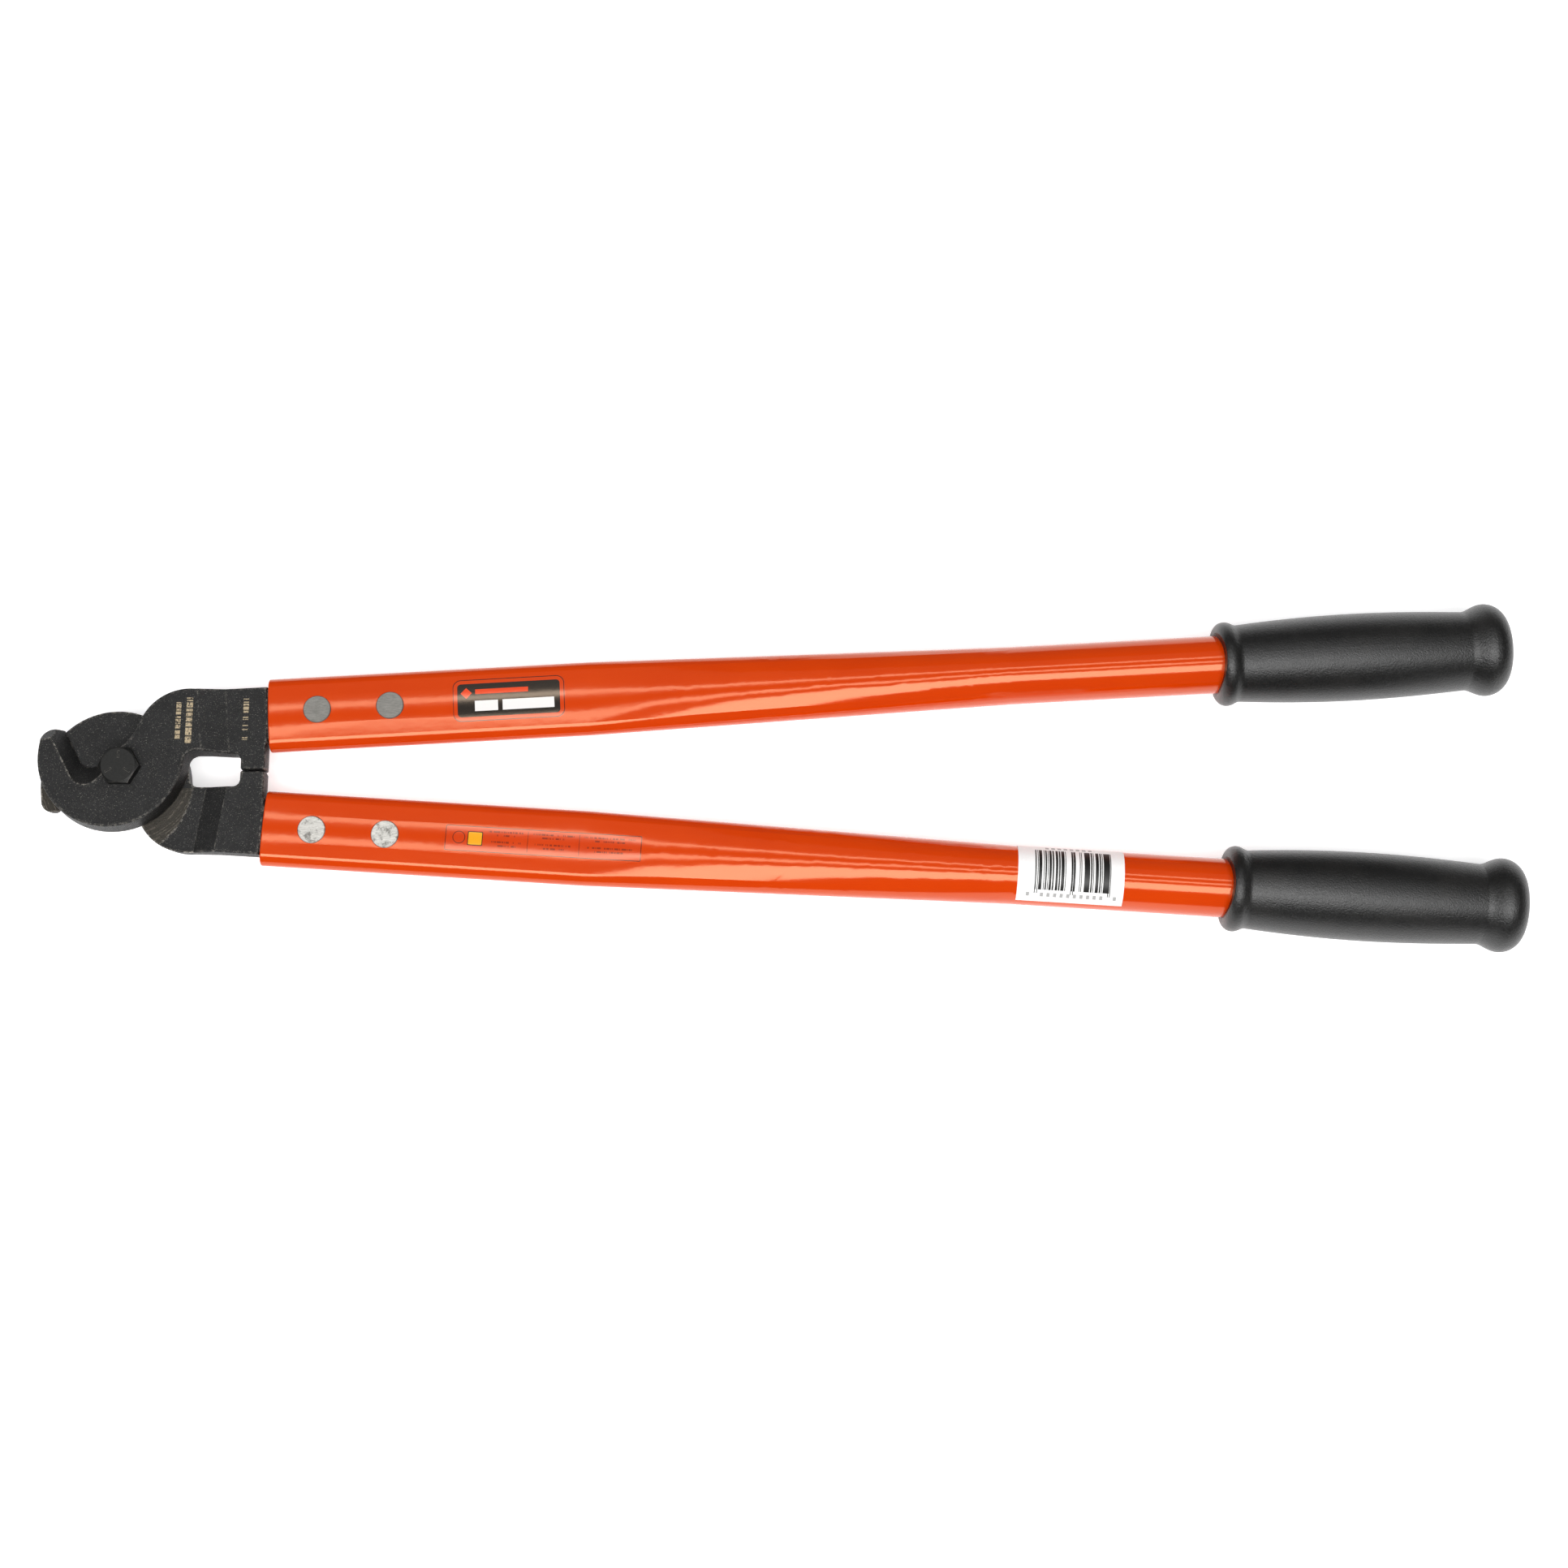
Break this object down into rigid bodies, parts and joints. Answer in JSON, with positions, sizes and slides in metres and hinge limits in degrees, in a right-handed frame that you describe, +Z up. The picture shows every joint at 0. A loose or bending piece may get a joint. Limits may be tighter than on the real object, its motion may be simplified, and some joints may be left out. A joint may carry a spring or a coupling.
{
  "type": "bolt cutters",
  "caption": "Long-handled cutters with two curved bypass jaws on one pivot bolt, flattened tube handles and sleeve grips.",
  "frame": {"origin": "centre of the closed tool's bounding box, on the surface it lies on", "axes": "+X from the jaws to the grips along the centre line, +Y towards the upper handle, +Z up out of the jaws' flat side with the bolt head"},
  "size_m": [0.7064, 0.17, 0.0448],
  "materials": {
    "forged_steel": "drop-forged steel, black oxide, oiled",
    "blackened_fastener": "black oxide bolt, nut and washer",
    "orange_paint": "gloss powder coat on steel tube",
    "rivet_steel": "zinc-plated steel, faced flat",
    "black_rubber": "moulded, semi-matte",
    "badge_print": "printed clear film",
    "notice_print": "printed clear film",
    "label_paper": "printed white label"
  },
  "bodies": {
    "upper_arm": {"front_jaw": "forged_steel", "pivot_bolt": "blackened_fastener", "lock_washer": "blackened_fastener", "pivot_nut": "blackened_fastener", "upper_handle_tube": "orange_paint", "upper_jaw_rivet": "rivet_steel", "upper_tang_rivet": "rivet_steel", "upper_grip": "black_rubber", "badge_film": "badge_print"},
    "lower_arm": {"rear_jaw": "forged_steel", "lower_handle_tube": "orange_paint", "lower_jaw_rivet": "rivet_steel", "lower_tang_rivet": "rivet_steel", "lower_grip": "black_rubber", "notice_film": "notice_print", "price_label": "label_paper"}
  },
  "joints": [
    {"name": "jaw_pivot", "type": "hinge", "parent": "upper_arm", "child": "lower_arm", "pos_m": [-0.31242, 0, 0.0225], "axis": [0, 0, -1], "range_deg": [0, 100]}
  ]
}
